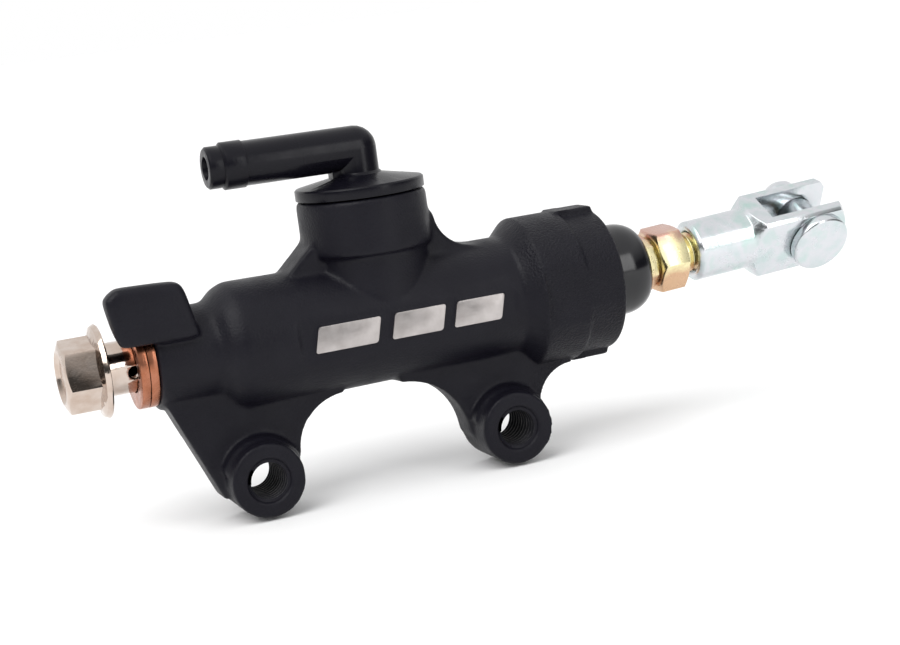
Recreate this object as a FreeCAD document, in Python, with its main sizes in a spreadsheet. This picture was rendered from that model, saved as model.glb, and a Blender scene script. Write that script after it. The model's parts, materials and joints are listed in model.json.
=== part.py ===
import FreeCAD, Part
import math
import os

import Sketcher
from FreeCAD import Placement, Rotation, Vector

# Rear brake master cylinder, millimetres.
# Frame: origin midway between the two mounting holes on the mounting face, X along the row of
# holes towards the clevis, Y into the cylinder, Z up towards the reservoir inlet.
# Most pieces are drawn about the bore axis (local X) and then placed on it.

DIMENSIONS = [
    # mounting lugs
    ("hole_spacing", 50.0, "distance between the two mounting holes"),
    ("hole_drop", 24.1, "mounting holes below the bore axis"),
    ("boss_front", 11.1, "mounting face in front of the bore axis"),
    ("boss_depth", 13.1, "length of a mounting boss"),
    ("boss_radius", 7.07, "outer radius of a mounting boss"),
    ("bolt_hole_radius", 4.0, "nominal radius of the M8 mounting thread"),
    ("bolt_hole_mouth", 4.45, "radius of the countersink of a mounting hole"),
    ("step_radius", 7.85, "radius of the shoulder round a boss"),
    ("step_front", 8.0, "front of that shoulder, before the bore axis"),
    ("step_chord", 22.1, "lower end of that shoulder, below the bore axis"),
    ("web_front", 5.5, "front of the web, before the bore axis"),
    ("web_back", 1.8, "back of the web, behind the bore axis"),
    ("web_top", 6.0, "upper edge of the web inside the barrel"),
    ("arch_top", 10.0, "upper edge of the arch between the lugs"),
    ("left_arch_x", -6.8, "centre of the left arch curve"),
    ("left_arch_drop", 21.6, "centre of the left arch curve, below the axis"),
    ("left_arch_radius", 9.85, "left arch curve"),
    ("middle_arch_x", 4.5, "centre of the right arch curve"),
    ("middle_arch_drop", 25.0, "centre of the right arch curve, below the axis"),
    ("middle_arch_radius", 12.9, "right arch curve"),
    ("right_arch_x", 40.0, "centre of the curve between right lug and collar"),
    ("right_arch_drop", 22.1, "centre of that curve, below the axis"),
    ("right_arch_radius", 7.5, "curve between right lug and collar"),
    ("web_side_radius", 8.0, "reach of the left side of the web around the left hole"),
    # barrel outside
    ("outlet_face", 41.5, "outlet end face, left of the origin"),
    ("outlet_radius", 9.2, "outer radius at the outlet"),
    ("outlet_end", 30.2, "end of the outlet neck"),
    ("shoulder_start", 29.5, "foot of the rounded shoulder"),
    ("shoulder_middle", 27.9, "middle of the rounded shoulder"),
    ("shoulder_end", 25.6, "top of the rounded shoulder"),
    ("edge", 0.5, "small chamfer or rounding of a free edge"),
    ("overcut", 1.0, "how far a cut runs past the face it opens through"),
    ("fit", 0.02, "radial gap between a fitted part and its seat"),
    ("play", 0.05, "gap between parts that lie face to face"),
    ("barrel_left_radius", 12.2, "barrel radius at its left end"),
    ("barrel_right_radius", 11.7, "barrel radius at its right end"),
    ("cone_start", 29.6, "start of the cone in front of the collar"),
    ("band_start", 33.0, "start of the collar band"),
    ("cone_radius", 14.4, "large radius of the cone"),
    ("band_radius", 14.8, "collar band radius"),
    ("ring_start", 42.3, "start of the end ring"),
    ("ring_radius", 13.95, "end ring radius, less than the band"),
    ("collar_end", 49.9, "right end face of the body"),
    ("flat_front", 13.65, "flat on the front of the collar, before the axis"),
    ("key_height", 14.95, "top of the two keys that carry the band on over the end ring"),
    ("key_half_width", 3.1, "half width of those keys"),
    # name plate flat
    ("plate_front", 11.4, "flat of the name plate, before the axis"),
    ("plate_left", -15.8, "left end of the name plate flat"),
    ("plate_right", 27.8, "right end of the name plate flat"),
    ("mark_height", 0.35, "height of the raised bars on the flat"),
    ("mark_half_height", 2.3, "half the width of those bars"),
    ("mark_slant", 1.2, "slant of their ends"),
    # inlet neck
    ("neck_x", 3.25, "inlet neck axis"),
    ("neck_radius", 12.4, "inlet neck outer radius"),
    ("neck_top", 24.3, "inlet neck top, above the bore axis"),
    ("neck_step", 14.0, "bottom of the wide part of the neck"),
    ("neck_root_radius", 11.0, "radius of the neck root"),
    ("neck_bore", 9.0, "inlet socket radius"),
    ("neck_floor", 10.5, "inlet socket floor, above the bore axis"),
    ("gusset_half", 4.4, "half thickness of the gussets beside the neck"),
    ("gusset_foot_x", -15.6, "foot of the straight left gusset, inside the barrel"),
    ("gusset_foot_z", 10.5, "height of that foot above the axis"),
    ("gusset_head_x", -7.5, "head of the straight left gusset, inside the neck"),
    ("gusset_head_z", 18.0, "height of that head above the axis"),
    ("right_gusset_x", 23.5, "centre of the right gusset curve"),
    ("right_gusset_z", 19.2, "centre of the right gusset curve, above the axis"),
    ("right_gusset_radius", 7.57, "right gusset curve"),
    # hose stop
    ("stop_left", 50.0, "left edge of the hose stop, left of the origin"),
    ("stop_right", 33.2, "right edge of the hose stop, left of the origin"),
    ("stop_top", 15.6, "top of the hose stop"),
    ("stop_bottom", 4.4, "bottom of the hose stop"),
    ("stop_front", 10.8, "front of the hose stop, before the axis"),
    ("stop_depth", 5.0, "thickness of the hose stop"),
    ("stop_shoulder", 13.7, "where the sides of the hose stop turn into its top"),
    ("stop_corner", 2.5, "width of the sloping top corners of the hose stop"),
    ("stop_lean", 1.7, "lean of the sides of the hose stop"),
    ("stop_inside", 9.6, "clear radius under the hose stop"),
    # bore
    ("bore_radius", 7.0, "cylinder bore"),
    ("bore_bottom", 19.0, "bottom of the bore, left of the origin"),
    ("port_radius", 5.05, "outlet thread radius"),
    ("port_bottom", 24.5, "bottom of the outlet thread, left of the origin"),
    ("feed_radius", 2.0, "drilling from bore to outlet"),
    ("mouth_radius", 10.2, "radius of the collar recess"),
    ("mouth_start", 40.0, "bottom of the collar recess"),
    ("clip_groove_radius", 10.9, "radius of the circlip groove"),
    ("clip_start", 41.4, "left side of the circlip groove"),
    ("clip_groove_width", 1.3, "width of the circlip groove"),
    ("relief_x", -0.9, "compensating port"),
    ("relief_radius", 0.4, "compensating port radius"),
    ("supply_x", 9.5, "supply port"),
    ("supply_radius", 1.5, "supply port radius"),
    # piston group
    ("piston_radius", 6.95, "piston lands"),
    ("waist_radius", 4.6, "piston waist"),
    ("spigot_radius", 3.0, "front spigot of the piston"),
    ("spigot_end", -2.2, "front end of the spigot"),
    ("cup_front", 0.0, "front of the primary cup"),
    ("cup_back", 3.9, "back of the primary cup"),
    ("shim_back", 4.5, "back of the cup washer"),
    ("front_land_end", 8.0, "end of the front land"),
    ("seal_start", 22.0, "start of the secondary cup groove"),
    ("seal_end", 26.0, "end of the secondary cup groove"),
    ("ball_x", 37.3, "centre of the push rod ball"),
    ("piston_back", 37.0, "back face of the piston"),
    ("ball_radius", 5.6, "push rod ball"),
    ("socket_radius", 5.65, "ball socket in the piston"),
    ("cup_radius", 6.97, "outer radius of the cups"),
    ("seat_radius", 5.9, "spring seat flange"),
    ("coil_radius", 4.8, "mean radius of the return spring"),
    ("wire_radius", 0.55, "wire radius of the return spring"),
    ("coil_count", 5.0, "turns of the return spring"),
    ("stop_washer_hole", 5.2, "hole of the stop washer"),
    ("stop_washer_thickness", 1.2, "stop washer"),
    ("circlip_width", 1.7, "radial width of the circlip inside the recess"),
    ("eye_offset", 2.2, "eyes of the circlip, from its middle"),
    ("eye_radius", 1.3, "eyes of the circlip"),
    ("eye_hole", 0.6, "holes of those eyes"),
    # push rod group
    ("rod_tilt", 3.2, "rest angle of the push rod above the bore axis, degrees"),
    ("rod_neck_radius", 3.4, "push rod neck"),
    ("rod_hex_flats", 10.0, "width across flats of the push rod hexagon"),
    ("rod_hex_turn", -9.0, "rest angle of that hexagon, degrees"),
    ("rod_hex_start", 17.0, "start of the hexagon from the ball"),
    ("rod_hex_end", 24.3, "end of the hexagon from the ball"),
    ("rod_thread_radius", 3.95, "M8 thread of the push rod"),
    ("rod_end", 47.0, "end of the push rod from the ball"),
    ("nut_flats", 12.0, "lock nut across flats"),
    ("nut_start", 24.75, "lock nut from the ball"),
    ("nut_thickness", 6.1, "lock nut thickness"),
    ("nut_turn", -23.0, "rest angle of the lock nut, degrees"),
    ("thread_hole_radius", 4.02, "tapped holes on the push rod"),
    ("sleeve_radius", 6.1, "clevis sleeve"),
    ("sleeve_start", 33.4, "clevis sleeve from the ball"),
    ("sleeve_end", 46.1, "end of the sleeve"),
    ("turned_end", 48.4, "end of the turned shoulder of the fork"),
    ("fork_turn", 32.0, "rest angle of the clevis, degrees"),
    ("fork_width", 11.6, "fork across the ears"),
    ("fork_height", 13.5, "width of an ear"),
    ("fork_end", 67.2, "end of the ears from the ball"),
    ("fork_corner_radius", 8.45, "turned corners along the fork"),
    ("fork_flat_radius", 6.3, "the ends of the ears are flat inside this radius"),
    ("fork_chamfer", 1.7, "length of the turned chamfer round the ends of the ears"),
    ("slot_width", 6.9, "fork slot"),
    ("slot_start", 50.4, "bottom of the fork slot"),
    ("pin_x", 60.7, "clevis pin from the ball"),
    ("pin_radius", 3.95, "clevis pin"),
    ("pin_hole_radius", 4.0, "pin holes in the fork"),
    ("pin_head_radius", 6.25, "clevis pin head"),
    ("pin_head_thickness", 2.0, "clevis pin head"),
    ("pin_end", 11.4, "free end of the clevis pin from the fork middle"),
    ("pin_clip_thickness", 0.9, "retaining ring of the clevis pin"),
    # boot
    ("boot_radius", 9.15, "outer radius of the dust boot"),
    ("boot_root", 6.4, "inner end of the dust boot, from the ball"),
    ("boot_nose", 21.4, "nose of the dust boot, from the ball"),
    ("boot_wall", 1.3, "wall of the dust boot"),
    ("boot_lip", 6.0, "hole in the nose of the dust boot"),
    # inlet elbow
    ("disc_radius", 12.3, "elbow flange radius"),
    ("disc_gap", 0.2, "gap under the elbow flange"),
    ("disc_rim", 2.1, "elbow flange thickness at the rim"),
    ("disc_crown", 3.6, "elbow flange height beside the riser"),
    ("tube_radius", 4.2, "elbow tube"),
    ("rib_reach", 1.1, "how far the rib under the tube stands out from the riser"),
    ("rib_width", 3.0, "width of that rib"),
    ("tube_bore", 2.2, "bore of the elbow tube"),
    ("tube_height", 33.1, "tube axis above the bore axis"),
    ("tube_rise", 0.7, "slope of the tube, degrees"),
    ("hose_collar_radius", 4.45, "hose collar"),
    ("hose_collar_start", 22.0, "hose collar from the neck axis"),
    ("hose_collar_end", 26.3, "end of the hose collar from the neck axis"),
    ("tube_tip", 29.0, "tip of the tube from the neck axis"),
    ("tip_radius", 3.95, "tip of the tube"),
    ("plug_radius", 8.93, "elbow plug in the socket"),
    ("plug_bottom", 12.2, "bottom of the plug, above the bore axis"),
    ("ring_groove_low", 14.0, "bottom of the O-ring groove"),
    ("ring_groove_high", 16.4, "top of the O-ring groove"),
    ("ring_groove_radius", 6.9, "floor of the O-ring groove"),
    ("snap_low", 19.4, "bottom of the snap ring groove"),
    ("snap_high", 20.6, "top of the snap ring groove"),
    ("snap_inner", 8.1, "floor of the snap ring groove in the plug"),
    ("snap_outer", 9.9, "floor of the snap ring groove in the socket"),
    ("snap_gap", 1.5, "half the opening of the snap ring"),
    # banjo bolt
    ("washer_radius", 8.25, "sealing washers"),
    ("washer_hole", 5.15, "hole of the sealing washers"),
    ("washer_thickness", 1.65, "one sealing washer"),
    ("bolt_radius", 4.97, "banjo bolt shank"),
    ("bolt_flange_radius", 8.75, "banjo bolt flange"),
    ("bolt_seat", 50.2, "underside of the bolt flange, left of the origin"),
    ("bolt_flange_thickness", 1.1, "banjo bolt flange"),
    ("bolt_head_flats", 12.0, "banjo bolt hexagon"),
    ("bolt_head_end", 58.0, "outer end of the banjo bolt head"),
    ("bolt_length", 20.0, "shank length of the banjo bolt"),
    ("bolt_bore", 2.6, "drilling along the banjo bolt"),
    ("bolt_cross_bore", 1.3, "drilling across the banjo bolt"),
    ("bolt_cross_x", 4.9, "cross drilling from the flange"),
    ("bolt_turn", 8.0, "rest angle of the banjo bolt, degrees"),
    ("bolt_head_turn", -23.0, "angle of the hexagon against the cross drilling, degrees"),
]

# Left and right ends of the plain raised bars on the name flat.
MARK_BARS = ((-13.0, -1.0), (2.0, 12.0), (14.5, 24.0))
# The left side of the web ends beside the left boss, at this angle below the horizontal.
WEB_SIDE_ANGLE = math.radians(24.4)


class Size:
    """A length that carries its value and the spreadsheet expression that drives it."""

    def __init__(self, value, text):
        self.value = value
        self.text = text

    def __add__(self, other):
        other = as_size(other)
        return Size(self.value + other.value, f"({self.text} + {other.text})")

    def __sub__(self, other):
        other = as_size(other)
        return Size(self.value - other.value, f"({self.text} - {other.text})")

    def __mul__(self, other):
        other = as_size(other)
        return Size(self.value * other.value, f"({self.text} * {other.text})")

    def __truediv__(self, other):
        other = as_size(other)
        return Size(self.value / other.value, f"({self.text} / {other.text})")

    def __neg__(self):
        return Size(-self.value, f"(-1 * {self.text})")

    __radd__ = __add__
    __rmul__ = __mul__


def as_size(number):
    """Wrap a plain number so that it can stand beside spreadsheet sizes."""
    if isinstance(number, Size):
        return number
    return Size(float(number), repr(float(number)))


class SizeTable:
    """The driving sizes, one attribute for each row of the spreadsheet."""


def make_size_table(document):
    sheet = document.addObject("Spreadsheet::Sheet", "Dimensions")
    table = SizeTable()
    for row, (alias, value, meaning) in enumerate(DIMENSIONS, start=1):
        sheet.set(f"A{row}", meaning)
        sheet.set(f"B{row}", str(value))
        sheet.setAlias(f"B{row}", alias)
        setattr(table, alias, Size(value, f"Dimensions.{alias}"))
    document.recompute()
    return table


doc = FreeCAD.newDocument("BrakeMasterCylinder")
size = make_size_table(doc)


# ---------------------------------------------------------------- drawing helpers

def bind(item, name, amount):
    """Drive one property of a feature from the spreadsheet."""
    amount = as_size(amount)
    item.setExpression(name, amount.text)


def new_body(label):
    body = doc.addObject("PartDesign::Body", label)
    body.Label = label
    return body


def origin_plane(body, role):
    for feature in body.Origin.OriginFeatures:
        if feature.Role == role:
            return feature
    raise ValueError(f"no {role} in {body.Label}")


def new_sketch(body, plane, name, offset=None):
    """Sketch on an origin plane; offset moves it (along its X, its Y, its normal)."""
    sketch = body.newObject("Sketcher::SketchObject", f"{body.Label}_{name}")
    sketch.AttachmentSupport = (origin_plane(body, plane), [""])
    sketch.MapMode = "FlatFace"
    if offset is not None:
        for axis, amount in zip("xyz", offset):
            bind(sketch, f"AttachmentOffset.Base.{axis}", amount)
        sketch.recompute()
    return sketch


def hold(sketch, geometry, point, across, up):
    """Fix one sketch point at a spreadsheet position."""
    for kind, amount, axis in (("DistanceX", across, -2), ("DistanceY", up, -1)):
        amount = as_size(amount)
        if amount.value == 0.0:
            sketch.addConstraint(Sketcher.Constraint("PointOnObject", geometry, point, axis))
            continue
        index = sketch.addConstraint(
            Sketcher.Constraint(kind, -1, 1, geometry, point, amount.value))
        sketch.setExpression(f"Constraints[{index}]", amount.text)


def draw_polygon(sketch, corners):
    """Closed outline with every corner held by its own pair of cells."""
    spots = [Vector(as_size(x).value, as_size(y).value, 0) for x, y in corners]
    first = len(sketch.Geometry)
    count = len(spots)
    for index in range(count):
        sketch.addGeometry(Part.LineSegment(spots[index], spots[(index + 1) % count]), False)
    for index in range(count):
        following = first + (index + 1) % count
        sketch.addConstraint(Sketcher.Constraint("Coincident", first + index, 2, following, 1))
    for index, (x, y) in enumerate(corners):
        hold(sketch, first + index, 1, x, y)


def draw_circle(sketch, x, y, radius):
    x, y, radius = as_size(x), as_size(y), as_size(radius)
    circle = Part.Circle(Vector(x.value, y.value, 0), Vector(0, 0, 1), radius.value)
    index = sketch.addGeometry(circle, False)
    hold(sketch, index, 3, x, y)
    limit = sketch.addConstraint(Sketcher.Constraint("Radius", index, radius.value))
    sketch.setExpression(f"Constraints[{limit}]", radius.text)


def draw_cap(sketch, x, y, radius, chord):
    """Part of a disc above a horizontal chord."""
    x, y, radius, chord = as_size(x), as_size(y), as_size(radius), as_size(chord)
    rise = chord.value - y.value
    half = math.sqrt(radius.value ** 2 - rise ** 2)
    start = math.atan2(rise, half)
    circle = Part.Circle(Vector(x.value, y.value, 0), Vector(0, 0, 1), radius.value)
    arc = sketch.addGeometry(Part.ArcOfCircle(circle, start, math.pi - start), False)
    left = Vector(x.value - half, chord.value, 0)
    right = Vector(x.value + half, chord.value, 0)
    line = sketch.addGeometry(Part.LineSegment(left, right), False)
    hold(sketch, arc, 3, x, y)
    limit = sketch.addConstraint(Sketcher.Constraint("Radius", arc, radius.value))
    sketch.setExpression(f"Constraints[{limit}]", radius.text)
    sketch.addConstraint(Sketcher.Constraint("Coincident", arc, 1, line, 2))
    sketch.addConstraint(Sketcher.Constraint("Coincident", arc, 2, line, 1))
    sketch.addConstraint(Sketcher.Constraint("Horizontal", line))
    level = sketch.addConstraint(
        Sketcher.Constraint("DistanceY", -1, 1, line, 1, chord.value))
    sketch.setExpression(f"Constraints[{level}]", chord.text)


def draw_half_disc(sketch, radius):
    """Half a disc about the sketch origin, above its X axis."""
    circle = Part.Circle(Vector(0, 0, 0), Vector(0, 0, 1), radius.value)
    arc = sketch.addGeometry(Part.ArcOfCircle(circle, 0, math.pi), False)
    ends = Vector(-radius.value, 0, 0), Vector(radius.value, 0, 0)
    line = sketch.addGeometry(Part.LineSegment(*ends), False)
    sketch.addConstraint(Sketcher.Constraint("Coincident", arc, 3, -1, 1))
    sketch.addConstraint(Sketcher.Constraint("Coincident", arc, 2, line, 1))
    sketch.addConstraint(Sketcher.Constraint("Coincident", arc, 1, line, 2))
    sketch.addConstraint(Sketcher.Constraint("Horizontal", line))
    limit = sketch.addConstraint(Sketcher.Constraint("Radius", arc, radius.value))
    sketch.setExpression(f"Constraints[{limit}]", radius.text)


def pad(body, sketch, length, name, reversed_side=False):
    """Extrude a sketch along its normal, or against it."""
    feature = body.newObject("PartDesign::Pad", f"{body.Label}_{name}")
    feature.Profile = sketch
    feature.Reversed = reversed_side
    bind(feature, "Length", length)
    doc.recompute()
    return feature


def pocket(body, sketch, length, name, reversed_side=False):
    """Cut a sketch out, against its normal unless reversed; it must remove material."""
    before = body.Shape.Volume
    feature = body.newObject("PartDesign::Pocket", f"{body.Label}_{name}")
    feature.Profile = sketch
    feature.Reversed = reversed_side
    bind(feature, "Length", length)
    doc.recompute()
    if body.Shape.Volume >= before:
        raise ValueError(f"{feature.Name} removed nothing")
    return feature


def revolve(body, sketch, axis, name, cut=False):
    """Turn a sketch a full circle about its own H_Axis or V_Axis."""
    kind = "PartDesign::Groove" if cut else "PartDesign::Revolution"
    feature = body.newObject(kind, f"{body.Label}_{name}")
    feature.Profile = sketch
    feature.ReferenceAxis = (sketch, [axis])
    feature.Angle = 360.0
    doc.recompute()
    return feature


def turned(label, profile):
    """Body turned about its local X axis from (x, radius) corners."""
    body = new_body(label)
    sketch = new_sketch(body, "XZ_Plane", "profile")
    draw_polygon(sketch, profile)
    revolve(body, sketch, "H_Axis", "turned")
    return body


def bore_out(body, profile, name):
    """Cut a profile turned about the local X axis."""
    sketch = new_sketch(body, "XZ_Plane", f"{name}_profile")
    draw_polygon(sketch, profile)
    return revolve(body, sketch, "H_Axis", name, cut=True)


def hexagon_corners(across_flats):
    """Corners of a hexagon with two sides square to the sketch X axis."""
    half = across_flats / 2
    side_half = across_flats / (2 * math.sqrt(3))
    corner = across_flats / math.sqrt(3)
    return [(half, side_half), (0, corner), (-half, side_half),
            (-half, -side_half), (0, -corner), (half, -side_half)]


def hexagon_bar(body, across_flats, start, length, name, turn=0.0):
    """Hexagonal bar along local X, with flats facing -Y and +Y before its turn."""
    sketch = new_sketch(body, "YZ_Plane", f"{name}_outline", (0, 0, start))
    bind(sketch, "AttachmentOffset.Rotation.Angle", turn)
    draw_polygon(sketch, hexagon_corners(across_flats))
    return pad(body, sketch, length, name)


def tube_between(inner, outer, low, high):
    """Corners of a plain ring section."""
    return [(low, inner), (low, outer), (high, outer), (high, inner)]


def place(body, x, pitch, turn):
    """Put a body on the bore height at x, pitched about Y after a turn about its own X."""
    x, pitch, turn = as_size(x), as_size(pitch), as_size(turn)
    spot = f"vector({x.text}; {size.boss_front.text}; {size.hole_drop.text})"
    angles = f"rotation(0; {pitch.text}; {turn.text})"
    body.setExpression("Placement", f"placement({spot}; {angles})")


def place_on_bore(body, x=0.0, turn=0.0):
    """Put a body on the bore axis, x along it."""
    place(body, x, 0.0, turn)


def place_on_rod(body, turn=0.0):
    """Put a body on the tilted rod axis, origin at the ball centre, turned about the rod."""
    place(body, size.ball_x, -size.rod_tilt, turn)


# ---------------------------------------------------------------- cylinder body

def add_web(body):
    """Flat web that carries both lugs, with its three concave curves."""
    half = size.hole_spacing / 2
    sketch = new_sketch(body, "XZ_Plane", "web_outline", (0, 0, size.web_front))
    draw_polygon(sketch, [
        (-size.outlet_face + size.play * 2, -size.web_top),
        (-half - size.web_side_radius * math.cos(WEB_SIDE_ANGLE),
         -size.hole_drop - size.web_side_radius * math.sin(WEB_SIDE_ANGLE)),
        (-half, -size.hole_drop),
        (-half + size.boss_radius, -size.hole_drop),
        (size.left_arch_x - size.left_arch_radius, -size.left_arch_drop),
        (size.left_arch_x, -size.left_arch_drop),
        (size.left_arch_x, -size.arch_top),
        (size.middle_arch_x, -size.arch_top),
        (size.middle_arch_x, -size.middle_arch_drop),
        (half - size.boss_radius, -size.middle_arch_drop),
        (half, -size.hole_drop),
        (half + size.boss_radius, -size.right_arch_drop - size.overcut),
        (size.right_arch_x - size.right_arch_radius, -size.right_arch_drop),
        (size.right_arch_x, -size.right_arch_drop),
        (size.right_arch_x, -size.web_top),
    ])
    pad(body, sketch, size.web_front + size.web_back, "web", reversed_side=True)
    sketch = new_sketch(body, "XZ_Plane", "arch_curves", (0, 0, size.web_front + size.overcut))
    draw_circle(sketch, size.left_arch_x, -size.left_arch_drop, size.left_arch_radius)
    draw_circle(sketch, size.right_arch_x, -size.right_arch_drop, size.right_arch_radius)
    pocket(body, sketch, size.boss_depth, "arches")
    sketch = new_sketch(body, "XZ_Plane", "middle_curve", (0, 0, size.web_front + size.overcut))
    draw_circle(sketch, size.middle_arch_x, -size.middle_arch_drop, size.middle_arch_radius)
    pocket(body, sketch, size.boss_depth, "middle_arch")


def add_gussets(body):
    """Plate through the barrel that shows as a gusset either side of the neck, curved at right."""
    sketch = new_sketch(body, "XZ_Plane", "gusset_outline", (0, 0, size.gusset_half))
    draw_polygon(sketch, [
        (size.gusset_foot_x, -size.web_top - size.overcut),
        (size.gusset_foot_x, size.gusset_foot_z),
        (size.gusset_head_x, size.gusset_head_z),
        (size.neck_x, size.gusset_head_z),
        (size.neck_x, size.right_gusset_z),
        (size.right_gusset_x, size.right_gusset_z),
        (size.right_gusset_x, -size.web_top - size.overcut),
    ])
    pad(body, sketch, size.gusset_half * 2, "gussets", reversed_side=True)
    sketch = new_sketch(body, "XZ_Plane", "gusset_circle", (0, 0, size.gusset_half + size.overcut))
    draw_circle(sketch, size.right_gusset_x, size.right_gusset_z, size.right_gusset_radius)
    pocket(body, sketch, size.boss_depth, "gusset_curve")


def add_barrel(body):
    """Outside of the cylinder: outlet neck, shoulder, barrel, cone, band and end ring."""
    sketch = new_sketch(body, "XZ_Plane", "barrel_profile")
    draw_polygon(sketch, [
        (-size.outlet_face, 0),
        (-size.outlet_face, size.outlet_radius - size.edge),
        (-size.outlet_face + size.edge, size.outlet_radius),
        (-size.outlet_end, size.outlet_radius),
        (-size.shoulder_start, size.outlet_radius + size.edge),
        (-size.shoulder_middle, size.barrel_left_radius - size.edge * 2),
        (-size.shoulder_end, size.barrel_left_radius),
        (size.cone_start, size.barrel_right_radius),
        (size.band_start - size.edge, size.cone_radius),
        (size.band_start, size.band_radius),
        (size.ring_start - size.edge, size.band_radius),
        (size.ring_start, size.ring_radius),
        (size.collar_end - size.edge, size.ring_radius),
        (size.collar_end, size.ring_radius - size.edge),
        (size.collar_end, 0),
    ])
    revolve(body, sketch, "H_Axis", "barrel")


def add_bosses(body):
    """Mounting bosses and the half-round shoulder above each."""
    half = size.hole_spacing / 2
    sketch = new_sketch(body, "XZ_Plane", "boss_outline", (0, 0, size.boss_front))
    for side in (-1, 1):
        draw_circle(sketch, half * side, -size.hole_drop, size.boss_radius)
    pad(body, sketch, size.boss_depth, "bosses", reversed_side=True)
    sketch = new_sketch(body, "XZ_Plane", "step_outline", (0, 0, size.step_front))
    for side in (-1, 1):
        draw_cap(sketch, half * side, -size.hole_drop, size.step_radius, -size.step_chord)
    pad(body, sketch, size.step_front - size.web_front + size.overcut, "steps", reversed_side=True)


def add_neck(body):
    """Upright inlet neck with its narrower root."""
    sketch = new_sketch(body, "XZ_Plane", "neck_profile", (size.neck_x, 0, 0))
    draw_polygon(sketch, [
        (0, 0),
        (size.neck_root_radius, 0),
        (size.neck_root_radius, size.neck_step - size.edge),
        (size.neck_radius, size.neck_step),
        (size.neck_radius, size.neck_top - size.edge),
        (size.neck_radius - size.edge, size.neck_top),
        (0, size.neck_top),
    ])
    revolve(body, sketch, "V_Axis", "neck")


def add_hose_stop(body):
    """Block beside the outlet that keeps the hose fitting from turning."""
    sketch = new_sketch(body, "XZ_Plane", "stop_outline", (0, 0, size.stop_front))
    draw_polygon(sketch, [
        (-size.stop_left + size.stop_lean, size.stop_bottom),
        (-size.stop_left, size.stop_shoulder),
        (-size.stop_left + size.stop_corner, size.stop_top),
        (-size.stop_right - size.stop_corner, size.stop_top - size.edge),
        (-size.stop_right - size.stop_lean, size.stop_shoulder - size.edge),
        (-size.stop_right, size.stop_bottom + size.edge),
        (-size.stop_right - size.edge, size.stop_bottom),
    ])
    pad(body, sketch, size.stop_depth, "hose_stop", reversed_side=True)
    bore_out(body, [
        (-size.bolt_head_end, 0),
        (-size.bolt_head_end, size.stop_inside),
        (-size.outlet_face - size.fit, size.stop_inside),
        (-size.outlet_face - size.fit, 0),
    ], "hose_clearance")


def add_collar_details(body):
    """Keys at top and bottom of the end ring, and the flat on the front of the collar."""
    sketch = new_sketch(body, "XZ_Plane", "key_outline", (0, 0, size.key_half_width))
    draw_polygon(sketch, [
        (size.ring_start - size.edge * 2, -size.key_height),
        (size.ring_start - size.edge * 2, size.key_height),
        (size.collar_end - size.edge, size.key_height),
        (size.collar_end - size.edge, -size.key_height),
    ])
    pad(body, sketch, size.key_half_width * 2, "keys", reversed_side=True)
    outside = size.ring_radius + size.overcut
    sketch = new_sketch(body, "XZ_Plane", "flat_outline", (0, 0, outside))
    draw_polygon(sketch, [
        (size.band_start, -size.ring_radius),
        (size.band_start, size.ring_radius),
        (size.collar_end + size.overcut, size.ring_radius),
        (size.collar_end + size.overcut, -size.ring_radius),
    ])
    pocket(body, sketch, outside - size.flat_front, "collar_flat")


def add_name_flat(body):
    """Shallow flat on the front of the barrel with three plain raised bars."""
    outside = size.barrel_left_radius + size.overcut
    sketch = new_sketch(body, "XZ_Plane", "plate_outline", (0, 0, outside))
    reach = size.plate_front / 2
    draw_polygon(sketch, [
        (size.plate_left, -reach),
        (size.plate_left, reach),
        (size.plate_right, reach),
        (size.plate_right, -reach),
    ])
    pocket(body, sketch, outside - size.plate_front, "plate_flat")
    sketch = new_sketch(body, "XZ_Plane", "mark_outline",
                        (0, 0, size.plate_front + size.mark_height))
    for left, right in MARK_BARS:
        draw_polygon(sketch, [
            (left, -size.mark_half_height),
            (left + size.mark_slant, size.mark_half_height),
            (right + size.mark_slant, size.mark_half_height),
            (right, -size.mark_half_height),
        ])
    pad(body, sketch, size.mark_height + size.edge, "marks", reversed_side=True)


def cut_bolt_holes(body):
    """Through holes of the bosses with a countersunk front edge."""
    half = size.hole_spacing / 2
    sink = size.bolt_hole_mouth - size.bolt_hole_radius
    for name, centre in (("left", -half), ("right", half)):
        # A sketch turned about its V axis: across is the radius, up runs against local Y.
        sketch = new_sketch(body, "XY_Plane", f"{name}_hole", (centre, 0, -size.hole_drop))
        draw_polygon(sketch, [
            (0, -size.boss_front - size.overcut),
            (size.bolt_hole_mouth, -size.boss_front - size.overcut),
            (size.bolt_hole_mouth, -size.boss_front),
            (size.bolt_hole_radius, -size.boss_front + sink),
            (size.bolt_hole_radius, size.boss_depth),
            (0, size.boss_depth),
        ])
        revolve(body, sketch, "V_Axis", f"{name}_bolt_hole", cut=True)


def cut_bore(body):
    """Bore, outlet thread, drilling between them, collar recess and circlip groove."""
    clip_end = size.clip_start + size.clip_groove_width
    bore_out(body, [
        (-size.outlet_face - size.overcut, 0),
        (-size.outlet_face - size.overcut, size.port_radius),
        (-size.port_bottom, size.port_radius),
        (-size.port_bottom, size.feed_radius),
        (-size.bore_bottom, size.feed_radius),
        (-size.bore_bottom, size.bore_radius),
        (size.mouth_start, size.bore_radius),
        (size.mouth_start, size.mouth_radius),
        (size.clip_start, size.mouth_radius),
        (size.clip_start, size.clip_groove_radius),
        (clip_end, size.clip_groove_radius),
        (clip_end, size.mouth_radius),
        (size.collar_end - 0.6, size.mouth_radius),
        (size.collar_end + 0.4, size.mouth_radius + size.overcut),
        (size.collar_end + 0.4, 0),
    ], "bore")


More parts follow.
